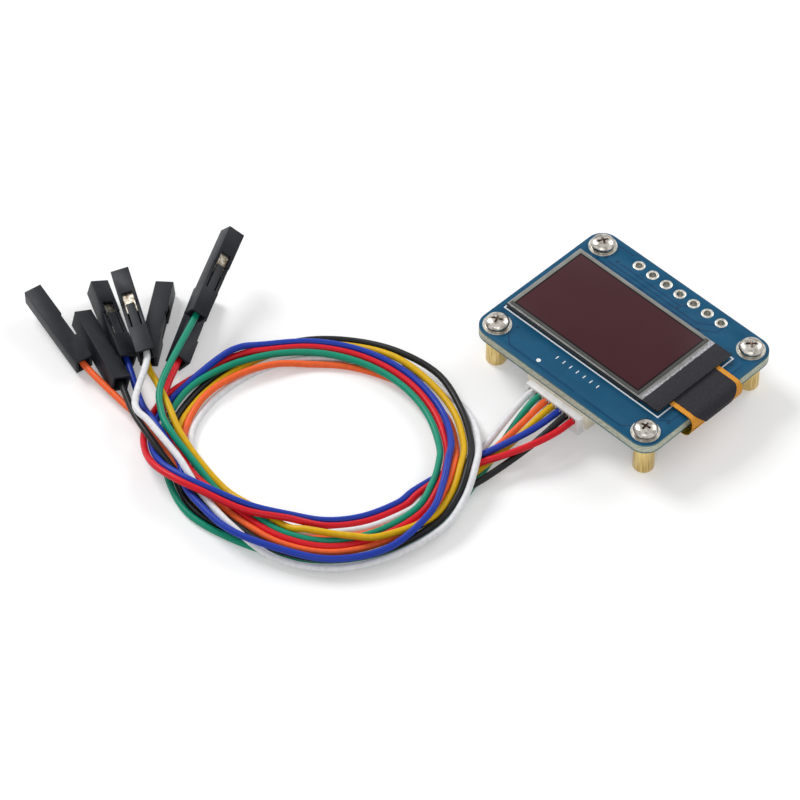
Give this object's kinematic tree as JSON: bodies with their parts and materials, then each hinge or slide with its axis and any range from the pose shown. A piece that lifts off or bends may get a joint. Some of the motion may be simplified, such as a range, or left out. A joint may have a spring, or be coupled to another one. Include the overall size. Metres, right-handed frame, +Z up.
{
  "type": "small oled display module",
  "caption": "Flat display panel on a blue circuit board with brass standoffs, a folded amber ribbon and a thin multi-wire cable ending in single-way housings.",
  "frame": {"origin": "centre of the pattern of the four standoff feet, on the surface they stand on", "axes": "+X along the board towards the folded ribbon, +Y towards the row of header holes, +Z up through the panel's face; the cable leaves towards -Y"},
  "size_m": [0.0832, 0.0733, 0.0095],
  "materials": {
    "solder_mask": "satin",
    "tinned": "satin",
    "print_white": "matte",
    "brass": "satin",
    "nickel": "polished",
    "foam": "matte",
    "panel_glass": "polished",
    "emitter": "satin",
    "silicon": "satin",
    "silver_glue": "satin",
    "black_tape": "matte",
    "ribbon_film": "satin",
    "connector_cream": "matte",
    "black_body": "matte",
    "ferrite": "matte",
    "ceramic": "matte",
    "plug_white": "satin",
    "plated_copper": "satin",
    "housing_black": "satin",
    "insulation_white": "satin",
    "insulation_green": "satin",
    "insulation_orange": "satin",
    "insulation_yellow": "satin",
    "insulation_blue": "satin",
    "insulation_black": "satin",
    "insulation_red": "satin"
  },
  "bodies": {
    "root": {"board": "solder_mask", "mounting_pads": "tinned", "header_pads": "tinned", "frame_line": "print_white", "standoffs": "brass", "screws": "nickel", "foam_tape": "foam", "panel_cap": "panel_glass", "panel_glass": "panel_glass", "emitting_layer": "emitter", "polarizer": "emitter", "driver_chip": "silicon", "adhesive_strip": "silver_glue", "ledge_tape": "black_tape", "ribbon": "ribbon_film", "ribbon_tape": "black_tape", "ribbon_connector": "connector_cream", "connector_latch": "black_body", "connector_pins": "tinned", "regulator": "black_body", "boost_converter": "black_body", "inductor": "ferrite", "diode": "black_body", "level_shifter": "black_body", "capacitors": "ceramic", "resistors": "black_body", "cable_socket": "connector_cream", "socket_pins": "tinned", "socket_tabs": "tinned", "cable_plug": "plug_white", "plug_contacts": "plated_copper", "wire_white": "insulation_white", "wire_green": "insulation_green", "wire_orange": "insulation_orange", "wire_yellow": "insulation_yellow", "wire_blue": "insulation_blue", "wire_black": "insulation_black", "wire_red": "insulation_red", "housing_white": "housing_black", "housing_green": "housing_black", "housing_orange": "housing_black", "housing_yellow": "housing_black", "housing_blue": "housing_black", "housing_black": "housing_black", "housing_red": "housing_black", "contact_white": "plated_copper", "contact_green": "plated_copper", "contact_orange": "plated_copper", "contact_yellow": "plated_copper", "contact_blue": "plated_copper", "contact_black": "plated_copper", "contact_red": "plated_copper"}
  },
  "joints": []
}
